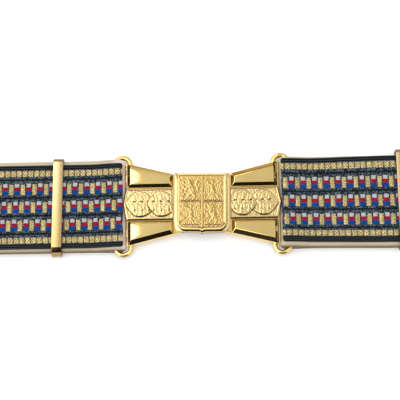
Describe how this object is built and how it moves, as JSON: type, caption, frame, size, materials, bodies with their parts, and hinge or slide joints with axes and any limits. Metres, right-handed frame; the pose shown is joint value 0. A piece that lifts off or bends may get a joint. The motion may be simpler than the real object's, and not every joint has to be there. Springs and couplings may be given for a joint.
{
  "type": "ceremonial belt",
  "caption": "Ceremonial parade belt: a loop of woven brocade on a leather lining, with wire rings, sliding keepers and a gilt winged buckle under a quartered shield.",
  "frame": {"origin": "middle of the clasp plate's back face, on the surface that the belt lies on", "axes": "+X to the right as the buckle is seen, +Y to the belt's upper edge, +Z out of the buckle's face"},
  "size_m": [0.477, 0.1893, 0.051],
  "materials": {
    "lining_leather": "smooth cream leather",
    "brocade": "woven, with lurex and coloured rows",
    "satin_gilt": "satin",
    "gilt": "polished",
    "chased_gilt": "polished, with chased relief"
  },
  "bodies": {
    "belt": {"lining_strap": "lining_leather", "brocade_band": "brocade", "ring_right": "gilt", "ring_left": "gilt", "wing_right": "gilt", "wing_left": "gilt", "leaf_panel_right": "chased_gilt", "leaf_panel_left": "chased_gilt", "shield": "chased_gilt", "clasp_plate": "satin_gilt"},
    "keeper_left": {"keeper_left": "satin_gilt"},
    "keeper_right": {"keeper_right": "satin_gilt"}
  },
  "joints": [
    {"name": "keeper_left_slide", "type": "slide", "parent": "belt", "child": "keeper_left", "axis": [1, 0, 0], "range_m": [-0.03, 0.0135]},
    {"name": "keeper_right_slide", "type": "slide", "parent": "belt", "child": "keeper_right", "axis": [1, 0, 0], "range_m": [-0.0425, 0.008]}
  ]
}
